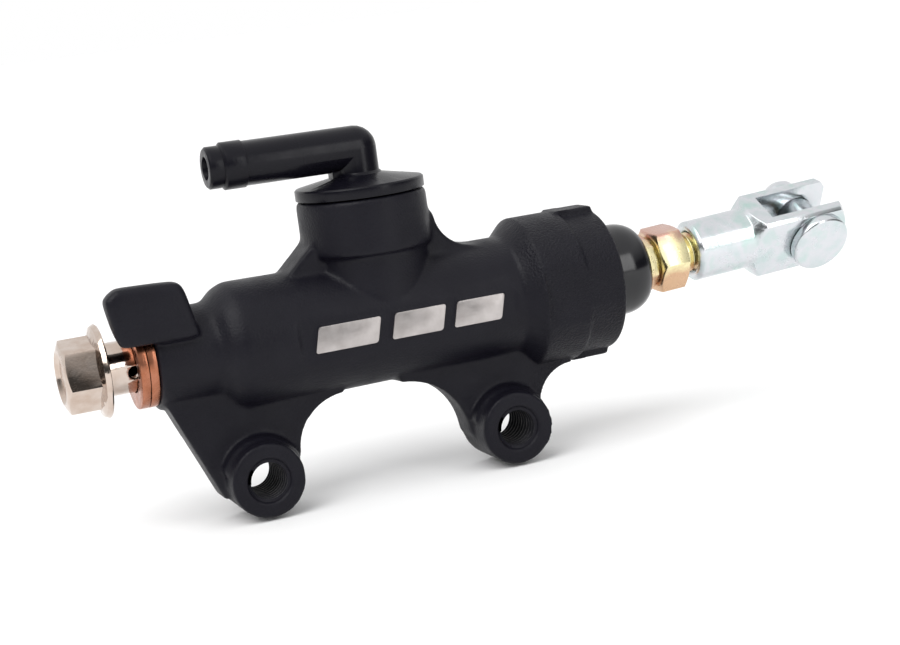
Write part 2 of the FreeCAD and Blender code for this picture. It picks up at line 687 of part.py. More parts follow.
def cut_inlet(body):
    """Socket in the neck with its snap ring groove, and the two ports into the bore."""
    sketch = new_sketch(body, "XZ_Plane", "socket_profile", (size.neck_x, 0, 0))
    draw_polygon(sketch, [
        (0, size.neck_floor),
        (size.neck_bore, size.neck_floor),
        (size.neck_bore, size.snap_low),
        (size.snap_outer, size.snap_low),
        (size.snap_outer, size.snap_high),
        (size.neck_bore, size.snap_high),
        (size.neck_bore, size.neck_top + size.overcut),
        (0, size.neck_top + size.overcut),
    ])
    revolve(body, sketch, "V_Axis", "socket", cut=True)
    sketch = new_sketch(body, "XY_Plane", "port_outline", (0, 0, size.neck_floor + size.overcut))
    draw_circle(sketch, size.relief_x, 0, size.relief_radius)
    draw_circle(sketch, size.supply_x, 0, size.supply_radius)
    pocket(body, sketch, size.neck_floor, "ports")


def make_cylinder_body():
    body = new_body("cylinder_body")
    add_web(body)
    add_gussets(body)
    add_barrel(body)
    add_bosses(body)
    add_neck(body)
    add_hose_stop(body)
    add_collar_details(body)
    add_name_flat(body)
    cut_bolt_holes(body)
    cut_bore(body)
    cut_inlet(body)
    place_on_bore(body)
    return body


# ---------------------------------------------------------------- piston group

def make_piston():
    """Piston with front spigot, two lands, seal groove and rear ball socket."""
    body = turned("piston", [
        (size.spigot_end, 0),
        (size.spigot_end, size.spigot_radius),
        (size.shim_back, size.spigot_radius),
        (size.shim_back, size.piston_radius),
        (size.front_land_end, size.piston_radius),
        (size.front_land_end, size.waist_radius),
        (size.seal_start - 1.5, size.waist_radius),
        (size.seal_start - 1.5, size.piston_radius),
        (size.seal_start, size.piston_radius),
        (size.seal_start, size.waist_radius),
        (size.seal_end, size.waist_radius),
        (size.seal_end, size.piston_radius),
        (size.piston_back, size.piston_radius),
        (size.piston_back, 0),
    ])
    centre = size.ball_x
    # Five corners are enough for the ball seat: the ball touches it along a circle.
    bore_out(body, [
        (centre - size.socket_radius * 1.02, 0),
        (centre - size.socket_radius * 1.02, size.socket_radius * 0.42),
        (centre - size.socket_radius * 0.75, size.socket_radius * 0.76),
        (centre - size.socket_radius * 0.42, size.socket_radius * 0.98),
        (centre, size.socket_radius * 1.05),
        (centre, 0),
    ], "ball_seat")
    place_on_bore(body)


def make_primary_cup():
    """Lip seal in front of the piston, lip towards the outlet."""
    body = turned("primary_cup", [
        (size.cup_back, size.spigot_radius + size.fit),
        (size.cup_back, size.cup_radius - size.edge),
        (size.cup_back - size.edge * 2, size.cup_radius - 0.4),
        (size.cup_front + 0.6, size.cup_radius),
        (size.cup_front, size.cup_radius),
        (size.cup_front + 0.2, size.cup_radius - 0.9),
        (size.cup_back - 1.6, size.cup_radius - 1.7),
        (size.cup_back - 1.6, size.spigot_radius + 0.9),
        (size.cup_front + 0.8, size.spigot_radius + 0.7),
        (size.cup_front + 0.8, size.spigot_radius + size.fit),
    ])
    place_on_bore(body)


def make_secondary_cup():
    """Lip seal in the rear groove of the piston."""
    body = turned("secondary_cup", [
        (size.seal_start + 0.2, size.waist_radius + size.fit),
        (size.seal_start + 0.2, size.waist_radius + 0.8),
        (size.seal_start + 1.9, size.waist_radius + 0.9),
        (size.seal_start + 0.3, size.cup_radius - 0.6),
        (size.seal_start + 0.2, size.cup_radius),
        (size.seal_start + size.edge * 2, size.cup_radius),
        (size.seal_end - 0.1, size.cup_radius - size.edge),
        (size.seal_end - 0.1, size.waist_radius + size.fit),
    ])
    place_on_bore(body)


def make_cup_washer():
    """Thin washer between the primary cup and the piston."""
    body = turned("cup_washer", tube_between(
        size.spigot_radius + size.fit, size.piston_radius - 0.1, size.cup_back, size.shim_back))
    place_on_bore(body)


def make_spring_seat():
    """Cap on the piston spigot that the return spring pushes on."""
    body = turned("spring_seat", [
        (size.spigot_end - size.edge * 2, 0),
        (size.spigot_end - size.edge * 2, size.coil_radius - size.wire_radius - 0.15),
        (size.cup_front - 0.4, size.coil_radius - size.wire_radius - 0.15),
        (size.cup_front - 0.4, size.seat_radius),
        (size.cup_front + 0.4, size.seat_radius - 1.6),
        (size.cup_front + 0.4, size.spigot_radius + size.fit),
        (size.spigot_end, size.spigot_radius + size.fit),
        (size.spigot_end, 0),
    ])
    place_on_bore(body)


def make_return_spring():
    """Compression spring between the bottom of the bore and the spring seat."""
    body = new_body("return_spring")
    start = -size.bore_bottom + size.wire_radius + size.play
    length = size.bore_bottom + size.cup_front - size.edge - size.wire_radius * 2 - 0.1
    sketch = new_sketch(body, "XZ_Plane", "wire")
    draw_circle(sketch, start, size.coil_radius, size.wire_radius)
    coil = body.newObject("PartDesign::AdditiveHelix", "return_spring_coil")
    coil.Profile = sketch
    coil.ReferenceAxis = (sketch, ["H_Axis"])
    coil.Mode = "pitch-height-angle"
    bind(coil, "Pitch", length / size.coil_count)
    bind(coil, "Height", length)
    doc.recompute()
    place_on_bore(body)


def make_stop_washer():
    """Washer that holds the ball of the push rod in the bore."""
    body = turned("stop_washer", tube_between(
        size.stop_washer_hole, size.mouth_radius - 0.1,
        size.mouth_start + size.play, size.mouth_start + size.play + size.stop_washer_thickness))
    place_on_bore(body)


def make_circlip():
    """Internal retaining ring with two eyed ends."""
    inner = size.mouth_radius - size.circlip_width
    low = size.clip_start + size.play
    thickness = size.clip_groove_width - 0.1
    body = new_body("circlip")
    sketch = new_sketch(body, "YZ_Plane", "outline", (0, 0, low))
    draw_circle(sketch, 0, 0, size.clip_groove_radius - 0.1)
    draw_circle(sketch, 0, 0, inner)
    pad(body, sketch, thickness, "ring")
    sketch = new_sketch(body, "YZ_Plane", "eyes", (0, 0, low))
    for side in (-1, 1):
        draw_circle(sketch, size.eye_offset * side, -size.mouth_radius + 2.0, size.eye_radius)
    pad(body, sketch, thickness, "ends")
    sketch = new_sketch(body, "YZ_Plane", "gap", (0, 0, low + thickness))
    draw_polygon(sketch, [
        (-size.eye_offset / 2, -size.clip_groove_radius - size.overcut),
        (-size.eye_offset / 2, -size.stop_washer_hole + size.overcut),
        (size.eye_offset / 2, -size.stop_washer_hole + size.overcut),
        (size.eye_offset / 2, -size.clip_groove_radius - size.overcut),
    ])
    for side in (-1, 1):
        draw_circle(sketch, size.eye_offset * side, -size.mouth_radius + 2.0, size.eye_hole)
    pocket(body, sketch, thickness, "gap_and_holes")
    place_on_bore(body)


# ---------------------------------------------------------------- push rod group

def make_push_rod():
    """Ball, neck, hexagon and M8 thread in one piece."""
    body = turned("push_rod", [
        (0, 0),
        (0, size.rod_neck_radius),
        (size.rod_hex_start, size.rod_neck_radius),
        (size.rod_hex_start, size.rod_thread_radius - size.edge),
        (size.rod_hex_end, size.rod_thread_radius - size.edge),
        (size.rod_hex_end + size.edge, size.rod_thread_radius),
        (size.rod_end - size.edge * 2, size.rod_thread_radius),
        (size.rod_end, size.rod_thread_radius - size.edge * 2),
        (size.rod_end, 0),
    ])
    sketch = new_sketch(body, "XZ_Plane", "ball_outline")
    draw_half_disc(sketch, size.ball_radius)
    revolve(body, sketch, "H_Axis", "ball")
    hexagon_bar(body, size.rod_hex_flats, size.rod_hex_start,
                size.rod_hex_end - size.rod_hex_start, "hexagon")
    place_on_rod(body, size.rod_hex_turn)


def chamfered_hexagon(body, across_flats, start, thickness, name):
    """Hexagonal bar whose corners are turned off at 30 degrees on both ends."""
    hexagon_bar(body, across_flats, start, thickness, name)
    corner = across_flats / math.sqrt(3)
    drop = (corner - across_flats / 2) * math.tan(math.radians(30))
    for number, (face, inward) in enumerate(((start + thickness, -1), (start, 1))):
        bore_out(body, [
            (face, across_flats / 2 - 0.3),
            (face, corner + size.overcut),
            (face + drop * inward * 2, corner + size.overcut),
            (face + drop * inward, corner + 0.05),
        ], f"{name}_chamfer_{number}")


def make_lock_nut():
    body = new_body("lock_nut")
    end = size.nut_start + size.nut_thickness
    chamfered_hexagon(body, size.nut_flats, size.nut_start, size.nut_thickness, "hexagon")
    bore_out(body, [
        (size.nut_start - 0.1, 0),
        (size.nut_start - 0.1, size.thread_hole_radius + 0.6),
        (size.nut_start + size.edge, size.thread_hole_radius),
        (end - size.edge, size.thread_hole_radius),
        (end + 0.1, size.thread_hole_radius + 0.6),
        (end + 0.1, 0),
    ], "thread")
    place_on_rod(body, size.nut_turn)


def make_clevis():
    """Fork: square block with a turned shoulder, round sleeve, slot and pin holes."""
    body = turned("clevis", [
        (size.sleeve_start, 0),
        (size.sleeve_start, size.sleeve_radius - 0.7),
        (size.sleeve_start + 0.7, size.sleeve_radius),
        (size.sleeve_end + size.edge, size.sleeve_radius),
        (size.sleeve_end + size.edge, 0),
    ])
    half_width = size.fork_width / 2
    half_height = size.fork_height / 2
    sketch = new_sketch(body, "YZ_Plane", "block_outline", (0, 0, size.sleeve_end))
    draw_polygon(sketch, [
        (-half_width, -half_height),
        (-half_width, half_height),
        (half_width, half_height),
        (half_width, -half_height),
    ])
    pad(body, sketch, size.fork_end - size.sleeve_end, "block")
    diagonal = math.hypot(size.fork_width.value, size.fork_height.value) / 2
    bore_out(body, [
        (size.sleeve_end, size.sleeve_radius),
        (size.sleeve_end, diagonal + size.overcut),
        (size.turned_end + size.edge, diagonal + size.overcut),
        (size.turned_end, diagonal + 0.1),
    ], "turned_shoulder")
    bore_out(body, [
        (size.sleeve_end + size.overcut, size.fork_corner_radius),
        (size.fork_end - size.fork_chamfer, size.fork_corner_radius),
        (size.fork_end, size.fork_flat_radius),
        (size.fork_end + size.overcut, size.fork_flat_radius),
        (size.fork_end + size.overcut, diagonal + size.overcut),
        (size.sleeve_end + size.overcut, diagonal + size.overcut),
    ], "turned_corners")
    sketch = new_sketch(body, "XZ_Plane", "slot_outline", (0, 0, size.slot_width / 2))
    draw_polygon(sketch, [
        (size.slot_start, -half_height - size.overcut),
        (size.slot_start, half_height + size.overcut),
        (size.fork_end + size.overcut, half_height + size.overcut),
        (size.fork_end + size.overcut, -half_height - size.overcut),
    ])
    pocket(body, sketch, size.slot_width, "slot")
    sketch = new_sketch(body, "XZ_Plane", "pin_hole", (0, 0, half_width + size.overcut))
    draw_circle(sketch, size.pin_x, 0, size.pin_hole_radius)
    pocket(body, sketch, size.fork_width + 2, "pin_holes")
    bore_out(body, [
        (size.sleeve_start - 0.1, 0),
        (size.sleeve_start - 0.1, size.thread_hole_radius + 0.7),
        (size.sleeve_start + 0.6, size.thread_hole_radius),
        (size.slot_start + size.overcut, size.thread_hole_radius),
        (size.slot_start + size.overcut, 0),
    ], "thread")
    place_on_rod(body, size.fork_turn)


def pin_profile():
    """(distance from the fork middle, radius) corners of the clevis pin."""
    seat = -size.fork_width / 2 - 0.1
    clip = size.fork_width / 2 + 0.3
    return [
        (seat - size.pin_head_thickness, 0),
        (seat - size.pin_head_thickness, size.pin_head_radius - 0.4),
        (seat - size.pin_head_thickness + 0.4, size.pin_head_radius),
        (seat, size.pin_head_radius),
        (seat, size.pin_radius),
        (clip, size.pin_radius),
        (clip, size.pin_radius - 0.9),
        (clip + 1.0, size.pin_radius - 0.9),
        (clip + 1.0, size.pin_radius),
        (size.pin_end - 1.6, size.pin_radius),
        (size.pin_end - size.edge, size.pin_radius - 0.8),
        (size.pin_end, size.pin_radius - 1.8),
        (size.pin_end, 0),
    ]


def make_clevis_pin():
    """Headed pin across the fork; drawn about its own axis, which is the fork's Y."""
    body = new_body("clevis_pin")
    sketch = new_sketch(body, "XY_Plane", "profile", (size.pin_x, 0, 0))
    draw_polygon(sketch, [(radius, along) for along, radius in pin_profile()])
    revolve(body, sketch, "V_Axis", "turned")
    place_on_rod(body, size.fork_turn)


def make_pin_clip():
    """Retaining ring in the groove near the free end of the clevis pin."""
    body = new_body("pin_clip")
    low = size.fork_width / 2 + 0.35
    inner = size.pin_radius - 0.85
    sketch = new_sketch(body, "XZ_Plane", "outline", (0, 0, -low))
    draw_circle(sketch, size.pin_x, 0, size.pin_radius + 1.1)
    draw_circle(sketch, size.pin_x, 0, inner)
    pad(body, sketch, size.pin_clip_thickness, "ring", reversed_side=True)
    sketch = new_sketch(body, "XZ_Plane", "gap", (0, 0, -low + 0.5))
    draw_polygon(sketch, [
        (size.pin_x - inner * 0.8, -size.pin_radius - 2),
        (size.pin_x - inner * 0.8, 0),
        (size.pin_x + inner * 0.8, 0),
        (size.pin_x + inner * 0.8, -size.pin_radius - 2),
    ])
    pocket(body, sketch, size.pin_clip_thickness + size.overcut, "opening")
    place_on_rod(body, size.fork_turn)


def make_dust_boot():
    """Rubber dome between the collar recess and the push rod, drawn along the rod."""
    wall = size.boot_wall
    outer = size.boot_radius
    root = size.boot_root
    nose = size.boot_nose
    turned("dust_boot", [
        (root, outer - wall),
        (root, outer + size.edge),
        (root + wall * 3, outer + size.edge),
        (root + wall * 4, outer),
        (nose - outer * 0.55, outer),
        (nose - outer * 0.3, outer * 0.94),
        (nose - outer * 0.12, outer * 0.84),
        (nose, outer * 0.72),
        (nose, size.boot_lip),
        (nose - wall * 1.2, size.boot_lip),
        (nose - outer * 0.4, outer * 0.78),
        (nose - outer * 0.6, outer - wall),
    ])
    place_on_rod(doc.getObject("dust_boot"))


# ---------------------------------------------------------------- inlet elbow

def make_hose_elbow():
    """Plastic inlet: plug, round flange, riser and side tube in one piece."""
    body = new_body("hose_elbow")
    under = size.neck_top + size.disc_gap
    rim_top = under + size.disc_rim
    sketch = new_sketch(body, "XZ_Plane", "flange_profile")
    draw_polygon(sketch, [
        (0, size.plug_bottom),
        (size.plug_radius - 0.6, size.plug_bottom),
        (size.plug_radius, size.plug_bottom + 0.6),
        (size.plug_radius, size.ring_groove_low),
        (size.ring_groove_radius, size.ring_groove_low),
        (size.ring_groove_radius, size.ring_groove_high),
        (size.plug_radius, size.ring_groove_high),
        (size.plug_radius, size.snap_low),
        (size.snap_inner, size.snap_low),
        (size.snap_inner, size.snap_high),
        (size.plug_radius, size.snap_high),
        (size.plug_radius, under),
        (size.disc_radius, under),
        (size.disc_radius, rim_top - 0.3),
        (size.disc_radius - 0.3, rim_top),
        (size.tube_radius + size.edge, under + size.disc_crown),
        (size.tube_radius, under + size.disc_crown + size.edge),
        (size.tube_radius, size.tube_height),
        (0, size.tube_height),
    ])
    revolve(body, sketch, "V_Axis", "flange")
    sketch = new_sketch(body, "XZ_Plane", "rib_outline", (0, 0, size.rib_width / 2))
    draw_polygon(sketch, [
        (-size.tube_radius - size.rib_reach, under + size.disc_rim),
        (0, under + size.disc_rim),
        (0, size.tube_height - size.tube_radius / 2),
        (-size.tube_radius - size.rib_reach, size.tube_height - size.tube_radius / 2),
    ])
    pad(body, sketch, size.rib_width, "rib", reversed_side=True)
    add_side_tube(body)
    drill_elbow(body)
    place_on_bore(body, size.neck_x)


def side_sketch(body, name):
    """Sketch whose X axis is the sloping tube axis, through the top of the riser."""
    sketch = new_sketch(body, "XZ_Plane", name, (0, size.tube_height, 0))
    sketch.AttachmentOffset = Placement(
        Vector(0, size.tube_height.value, 0), Rotation(Vector(0, 0, 1), -size.tube_rise.value))
    return sketch


def add_side_tube(body):
    """Tube with hose collar and tip; a ball at the corner joins it to the riser."""
    reach = size.tube_radius
    sketch = side_sketch(body, "tube_profile")
    corners = [(reach * math.cos(math.radians(angle)), reach * math.sin(math.radians(angle)))
               for angle in range(15, 90, 15)]
    draw_polygon(sketch, [(reach, 0)] + corners + [
        (0, reach),
        (-size.hose_collar_start, reach),
        (-size.hose_collar_start, size.hose_collar_radius),
        (-size.hose_collar_end + size.edge, size.hose_collar_radius),
        (-size.hose_collar_end, size.hose_collar_radius - 0.6),
        (-size.hose_collar_end, size.tip_radius),
        (-size.tube_tip + 0.4, size.tip_radius),
        (-size.tube_tip, size.tip_radius - 0.4),
        (-size.tube_tip, 0),
    ])
    revolve(body, sketch, "H_Axis", "tube")


def drill_elbow(body):
    """Bore along the tube and up through the plug."""
    sketch = side_sketch(body, "tube_bore")
    draw_polygon(sketch, [
        (0, 0),
        (0, size.tube_bore),
        (-size.tube_tip - size.overcut, size.tube_bore),
        (-size.tube_tip - size.overcut, 0),
    ])
    revolve(body, sketch, "H_Axis", "tube_bore_cut", cut=True)
    sketch = new_sketch(body, "XZ_Plane", "riser_bore")
    draw_polygon(sketch, [
        (0, size.plug_bottom - size.overcut),
        (size.ring_groove_radius - 2.0, size.plug_bottom - size.overcut),
        (size.ring_groove_radius - 2.0, size.neck_top - 2),
        (size.tube_bore, size.neck_top),
        (size.tube_bore, size.tube_height),
        (0, size.tube_height),
    ])
    revolve(body, sketch, "V_Axis", "riser_bore_cut", cut=True)


def make_inlet_ring():
    """O-ring in the groove of the elbow plug."""
    middle = (size.ring_groove_low + size.ring_groove_high) / 2
    thick = (size.neck_bore - size.ring_groove_radius) / 2 - 0.06
    body = new_body("inlet_o_ring")
    sketch = new_sketch(body, "XZ_Plane", "section")
    draw_circle(sketch, size.ring_groove_radius + thick + 0.05, middle, thick)
    revolve(body, sketch, "V_Axis", "turned")
    place_on_bore(body, size.neck_x)


def make_snap_ring():
    """Open wire ring in the grooves of plug and socket that holds the elbow in."""
    body = new_body("inlet_snap_ring")
    sketch = new_sketch(body, "XY_Plane", "outline", (0, 0, size.snap_low + 0.1))
    draw_circle(sketch, 0, 0, size.snap_outer - 0.1)
    draw_circle(sketch, 0, 0, size.snap_inner + 0.3)
    pad(body, sketch, size.snap_high - size.snap_low - 0.2, "ring")
    sketch = new_sketch(body, "XY_Plane", "gap", (0, 0, size.snap_high))
    draw_polygon(sketch, [
        (size.snap_inner - size.overcut, -size.snap_gap),
        (size.snap_inner - size.overcut, size.snap_gap),
        (size.snap_outer + size.overcut, size.snap_gap),
        (size.snap_outer + size.overcut, -size.snap_gap),
    ])
    pocket(body, sketch, size.snap_high - size.snap_low + size.overcut, "opening")
    place_on_bore(body, size.neck_x)


# ---------------------------------------------------------------- banjo bolt

def make_copper_washer(label, number):
    """Flat sealing washer against the outlet face; number counts them from the face."""
    start = -size.outlet_face - size.washer_thickness * number - 0.05 * number
    body = turned(label, tube_between(
        size.washer_hole, size.washer_radius, start, start + size.washer_thickness - size.play))
    place_on_bore(body)


def make_banjo_bolt():
    """Hollow flange bolt: dished hexagon head, flange, shank with cross drilling."""
    seat = -size.bolt_seat
    flange = seat - size.bolt_flange_thickness
    tip = seat + size.bolt_length
    body = turned("banjo_bolt", [
        (flange - 0.7, 0),
        (flange - 0.7, size.bolt_head_flats / 2),
        (flange, size.bolt_flange_radius - 0.4),
        (seat - 0.3, size.bolt_flange_radius),
        (seat, size.bolt_flange_radius - 0.2),
        (seat, size.bolt_radius),
        (tip - 1.0, size.bolt_radius),
        (tip, size.bolt_radius - size.edge * 2),
        (tip, 0),
    ])
    start = -size.bolt_head_end
    corner = size.bolt_head_flats / math.sqrt(3)
    length = size.bolt_head_end - size.bolt_seat - size.edge * 2
    hexagon_bar(body, size.bolt_head_flats, start, length, "head", size.bolt_head_turn)
    bore_out(body, [
        (start, size.bolt_head_flats / 2 - 0.9),
        (start, corner + size.overcut),
        (start + 1.6, corner + size.overcut),
        (start + 0.8, corner + 0.05),
    ], "head_chamfer")
    bore_out(body, [
        (start - 0.1, 0),
        (start - 0.1, size.bolt_head_flats / 2 - 1.0),
        (start + 0.8, size.bolt_head_flats / 2 - 1.9),
        (start + 1.2, 0),
    ], "dish")
    bore_out(body, [
        (seat + 1.5, 0),
        (seat + 1.5, size.bolt_bore),
        (tip + 0.1, size.bolt_bore),
        (tip + 0.1, 0),
    ], "drilling")
    sketch = new_sketch(body, "XZ_Plane", "cross", (0, 0, size.bolt_radius + size.overcut))
    draw_circle(sketch, seat + size.bolt_cross_x, 0, size.bolt_cross_bore)
    pocket(body, sketch, size.bolt_radius * 2 + 2, "cross_drilling")
    place_on_bore(body, turn=size.bolt_turn)


# ---------------------------------------------------------------- build and export

def check_document(document):
    """Every feature must have computed and every shape must be sound."""
    for item in document.Objects:
        for word in ("Invalid", "Error"):
            if word in item.State:
                raise ValueError(f"{item.Label} is in state {word}")
    for item in document.findObjects("PartDesign::Body"):
        shape = item.Shape
        if shape.isNull() or not shape.isValid():
            raise ValueError(f"{item.Label} has no valid shape")
        if len(shape.Solids) != 1:
            raise ValueError(f"{item.Label} has {len(shape.Solids)} solids")


def write_parts(document):
    os.makedirs("parts", exist_ok=True)
    for item in document.findObjects("PartDesign::Body"):
        item.Shape.exportStep(f"parts/{item.Label}.step")
        print(f"{item.Label}: {item.Shape.Volume:.0f} mm3")


def build():
    make_cylinder_body()
    make_piston()
    make_primary_cup()
    make_secondary_cup()
    make_cup_washer()
    make_spring_seat()
    make_return_spring()
    make_stop_washer()
    make_circlip()
    make_push_rod()
    make_lock_nut()
    make_clevis()
    make_clevis_pin()
    make_pin_clip()
    make_dust_boot()
    make_hose_elbow()
    make_inlet_ring()
    make_snap_ring()
    make_copper_washer("copper_washer_inner", 1)
    make_copper_washer("copper_washer_outer", 2)
    make_banjo_bolt()
    doc.recompute()
    check_document(doc)
    write_parts(doc)


build()
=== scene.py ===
import json
import math
from contextlib import contextmanager

import bmesh
import bpy
import numpy as np
from mathutils import Matrix, Vector


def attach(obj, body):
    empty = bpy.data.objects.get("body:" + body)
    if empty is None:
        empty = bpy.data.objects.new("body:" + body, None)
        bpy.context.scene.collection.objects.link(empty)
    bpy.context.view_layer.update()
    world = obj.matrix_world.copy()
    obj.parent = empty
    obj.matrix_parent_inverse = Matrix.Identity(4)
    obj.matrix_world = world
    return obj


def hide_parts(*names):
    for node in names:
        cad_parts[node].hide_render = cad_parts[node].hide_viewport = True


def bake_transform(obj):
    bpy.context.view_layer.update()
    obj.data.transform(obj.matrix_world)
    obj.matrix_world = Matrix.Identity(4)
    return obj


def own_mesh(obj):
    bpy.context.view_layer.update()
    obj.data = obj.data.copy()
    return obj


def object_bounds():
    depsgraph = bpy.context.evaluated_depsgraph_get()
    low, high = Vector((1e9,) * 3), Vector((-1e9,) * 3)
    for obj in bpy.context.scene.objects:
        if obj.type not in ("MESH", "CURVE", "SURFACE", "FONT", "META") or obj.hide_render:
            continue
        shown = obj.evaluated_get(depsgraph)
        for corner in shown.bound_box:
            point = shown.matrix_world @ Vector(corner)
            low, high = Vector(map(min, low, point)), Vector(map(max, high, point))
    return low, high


# Looks of a rear brake master cylinder: every solid of the frame gets a procedural material, and
# the pieces whose shape needs more than a machined solid are rebuilt here in mesh code.

MM = 0.001

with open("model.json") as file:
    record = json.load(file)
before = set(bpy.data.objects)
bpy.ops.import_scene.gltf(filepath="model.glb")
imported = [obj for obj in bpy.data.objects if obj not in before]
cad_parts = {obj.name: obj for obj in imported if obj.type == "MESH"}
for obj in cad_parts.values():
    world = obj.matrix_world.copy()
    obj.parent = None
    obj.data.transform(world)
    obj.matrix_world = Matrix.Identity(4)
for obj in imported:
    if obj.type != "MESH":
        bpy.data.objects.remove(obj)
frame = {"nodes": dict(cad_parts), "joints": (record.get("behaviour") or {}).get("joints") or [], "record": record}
cad_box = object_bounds()
joints = {joint["name"]: joint for joint in frame["joints"]}

# Axes of the frame: the bore runs along X through the ball of the push rod.
BALL = Vector(joints["rod_tilt"]["pos_m"])
ROD = Vector(joints["clevis_turn"]["axis"]).normalized()
BORE_Y = BALL.y
BORE_Z = BALL.z


def on_axis(origin, along, side=Vector((0, 0, 1))):
    """Matrix that puts local X along a direction and local Z as near as possible to side."""
    x = along.normalized()
    y = side.cross(x).normalized()
    z = x.cross(y)
    turn = Matrix((x, y, z)).transposed().to_4x4()
    return Matrix.Translation(origin) @ turn


ROD_AXIS = on_axis(BALL, ROD)


# ---------------------------------------------------------------- materials

class Paint:
    """A Principled material with short ways to add noise, bump and colour variation."""

    def __init__(self, name, color, metallic=0.0, roughness=0.4):
        self.material = bpy.data.materials.new(name)
        self.material.use_nodes = True
        self.tree = self.material.node_tree
        self.shader = self.tree.nodes["Principled BSDF"]
        self.shader.inputs["Base Color"].default_value = (*color, 1)
        self.shader.inputs["Metallic"].default_value = metallic
        self.shader.inputs["Roughness"].default_value = roughness
        self.place = self.tree.nodes.new("ShaderNodeTexCoord").outputs["Object"]
        self.normal = None

    def link(self, output, target):
        """Join a node's output to another node's socket."""
        self.tree.links.new(output, target)

    def stretched(self, scale):
        """Object coordinates in metres, stretched by a vector."""
        mapping = self.tree.nodes.new("ShaderNodeMapping")
        mapping.inputs["Scale"].default_value = scale
        self.link(self.place, mapping.inputs["Vector"])
        return mapping.outputs["Vector"]

    def noise(self, size, detail=3.0, stretch=None):
        """Noise whose grains measure about size metres."""
        node = self.tree.nodes.new("ShaderNodeTexNoise")
        node.inputs["Scale"].default_value = 1.0 / size
        node.inputs["Detail"].default_value = detail
        self.link(self.stretched(stretch) if stretch else self.place, node.inputs["Vector"])
        return node.outputs["Fac"]

    def spread(self, value, low, high, near=0.3, far=0.7):
        """Map a noise value from near..far to low..high."""
        node = self.tree.nodes.new("ShaderNodeMapRange")
        node.inputs["From Min"].default_value = near
        node.inputs["From Max"].default_value = far
        node.inputs["To Min"].default_value = low
        node.inputs["To Max"].default_value = high
        self.link(value, node.inputs["Value"])
        return node.outputs["Result"]

    def math(self, operation, first, second):
        """A value worked out from two others."""
        node = self.tree.nodes.new("ShaderNodeMath")
        node.operation = operation
        self.link(first, node.inputs[0])
        self.link(second, node.inputs[1])
        return node.outputs["Value"]

    def scaled(self, value, share):
        """A value times another."""
        return self.math("MULTIPLY", value, share)

    def added(self, value, other):
        """A value plus another."""
        return self.math("ADD", value, other)

    def along(self, axis, start, end, low, high):
        """A value that goes from low to high between two places on an axis, in metres."""
        parts = self.tree.nodes.new("ShaderNodeSeparateXYZ")
        self.link(self.place, parts.inputs["Vector"])
        return self.spread(parts.outputs[axis], low, high, start, end)

    def vary_roughness(self, value, low, high):
        """Roughness that follows a noise value."""
        self.link(self.spread(value, low, high), self.shader.inputs["Roughness"])

    def vary_color(self, value, colors, near=0.3, far=0.7):
        """Colour that runs through a row of colours as a noise value grows."""
        ramp = self.tree.nodes.new("ShaderNodeValToRGB")
        stops = ramp.color_ramp.elements
        while len(stops) < len(colors):
            stops.new(0.5)
        for index, color in enumerate(colors):
            stops[index].position = near + (far - near) * index / (len(colors) - 1)
            stops[index].color = (*color, 1)
        self.link(value, ramp.inputs["Fac"])
        self.link(ramp.outputs["Color"], self.shader.inputs["Base Color"])

    def bump(self, value, depth):
        """Bump of a given depth in metres, added on top of any earlier bump."""
        node = self.tree.nodes.new("ShaderNodeBump")
        node.inputs["Distance"].default_value = depth
        self.link(value, node.inputs["Height"])
        if self.normal is not None:
            self.link(self.normal, node.inputs["Normal"])
        self.normal = node.outputs["Normal"]
        self.link(self.normal, self.shader.inputs["Normal"])


def cast_paint():
    """Satin black paint over a fine cast grain that is coarser on the collar."""
    paint = Paint("cast_paint", (0.0052, 0.0048, 0.009), roughness=0.42)
    paint.shader.inputs["Specular IOR Level"].default_value = 0.19
    paint.vary_roughness(paint.noise(0.004, 4.0), 0.38, 0.5)
    paint.vary_color(paint.noise(0.009, 3.0), [(0.0044, 0.004, 0.0078), (0.0064, 0.006, 0.0104)])
    paint.bump(paint.noise(0.0022, 2.0), 0.00004)
    grain = paint.noise(0.00042, 2.0)
    paint.bump(paint.scaled(grain, paint.along("X", 0.031, 0.034, 0.3, 1.0)), 0.0003)
    return paint.material


def moulded_plastic():
    """Black moulded plastic, glossy on the tube and dull on the hose collar."""
    paint = Paint("moulded_plastic", (0.0046, 0.0043, 0.0075), roughness=0.3)
    paint.shader.inputs["Specular IOR Level"].default_value = 0.18
    dull = paint.along("X", -0.0186, -0.0190, 0.0, 1.0)
    paint.vary_roughness(paint.added(paint.noise(0.006, 3.0), dull), 0.2, 0.3)
    paint.bump(paint.noise(0.0025, 2.0), 0.00003)
    paint.bump(paint.scaled(paint.noise(0.0004, 2.0), dull), 0.00003)
    return paint.material


def boot_rubber():
    """Glossy black rubber."""
    paint = Paint("boot_rubber", (0.0042, 0.0042, 0.0062), roughness=0.16)
    paint.vary_roughness(paint.noise(0.003, 3.0), 0.13, 0.2)
    paint.bump(paint.noise(0.0018, 2.0), 0.00002)
    return paint.material


def seal_rubber():
    """Dull black rubber of the cups and the O-ring."""
    paint = Paint("seal_rubber", (0.012, 0.012, 0.012), roughness=0.55)
    paint.vary_roughness(paint.noise(0.001, 3.0), 0.45, 0.65)
    paint.bump(paint.noise(0.0004, 2.0), 0.00002)
    return paint.material


